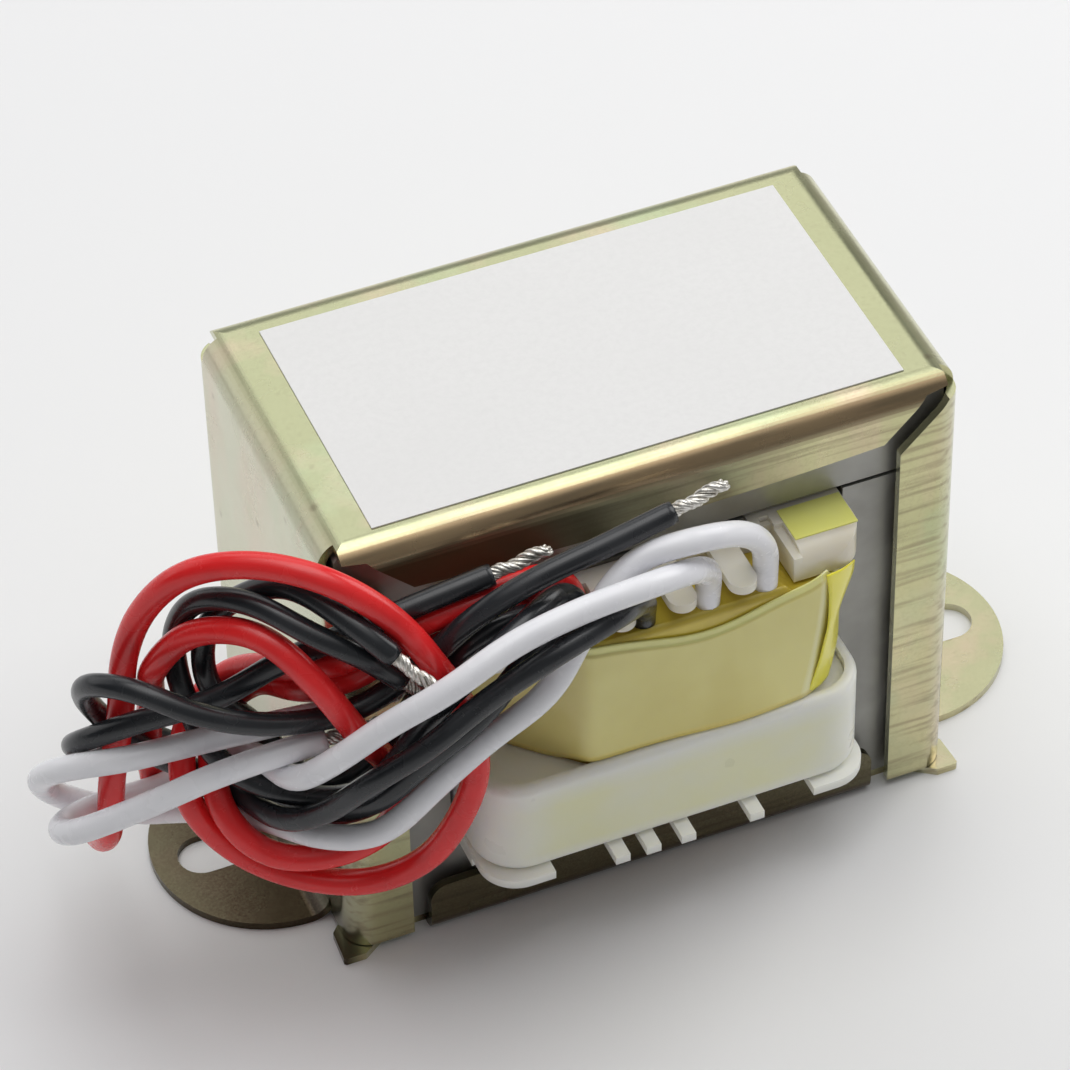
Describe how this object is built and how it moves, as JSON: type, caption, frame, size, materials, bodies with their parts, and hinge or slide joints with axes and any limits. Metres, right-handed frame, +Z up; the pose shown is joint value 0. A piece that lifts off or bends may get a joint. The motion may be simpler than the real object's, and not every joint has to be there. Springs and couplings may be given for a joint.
{
  "type": "frame-mounted small transformer",
  "caption": "Small EI-core transformer in a pressed steel frame with slotted feet, taped winding on a two-part bobbin and free insulated leads with bare ends.",
  "frame": {"origin": "on the mounting surface, under the middle of the lamination stack", "axes": "+Z up, +X along the line of the two foot slots, the leads leave at the front, -Y"},
  "size_m": [0.0978, 0.0553, 0.0528],
  "materials": {
    "black_lead": "black PVC insulation, glossy",
    "core_steel": "dark oxidised silicon steel laminations, satin",
    "label_paper": "plain white paper, matt",
    "natural_nylon": "natural milky nylon, slightly translucent, satin",
    "patch_tape": "yellow polyester tape, glossy",
    "red_lead": "red PVC insulation, glossy",
    "tinned_wire": "tinned stranded copper, twisted, metallic",
    "white_lead": "white PVC insulation, glossy",
    "winding": "enamelled copper wire, semi-gloss",
    "winding_tape": "yellow polyester tape over the winding, glossy",
    "wrap_tape": "pale yellow polyester tape, glossy",
    "zinc_sheet": "pressed steel sheet, yellow passivated zinc plating, semi-gloss"
  },
  "bodies": {
    "root": {"mounting_frame": "zinc_sheet", "base_plate": "zinc_sheet", "bobbin": "natural_nylon", "lower_shroud": "natural_nylon", "lower_winding": "winding", "upper_winding": "winding_tape", "tape_wrap": "wrap_tape", "tape_patch_left": "patch_tape", "tape_patch_right": "patch_tape", "label": "label_paper", "e_packet_1": "core_steel", "i_packet_1": "core_steel", "e_packet_2": "core_steel", "i_packet_2": "core_steel", "e_packet_3": "core_steel", "i_packet_3": "core_steel", "e_packet_4": "core_steel", "i_packet_4": "core_steel", "lead_white_1": "white_lead", "lead_white_1_tip": "tinned_wire", "lead_white_2": "white_lead", "lead_white_2_tip": "tinned_wire", "lead_black_1": "black_lead", "lead_black_1_tip": "tinned_wire", "lead_black_2": "black_lead", "lead_black_2_tip": "tinned_wire", "lead_black_3": "black_lead", "lead_black_3_tip": "tinned_wire", "lead_black_4": "black_lead", "lead_black_4_tip": "tinned_wire", "lead_red_1": "red_lead", "lead_red_1_tip": "tinned_wire", "lead_red_2": "red_lead", "lead_red_2_tip": "tinned_wire"}
  },
  "joints": []
}
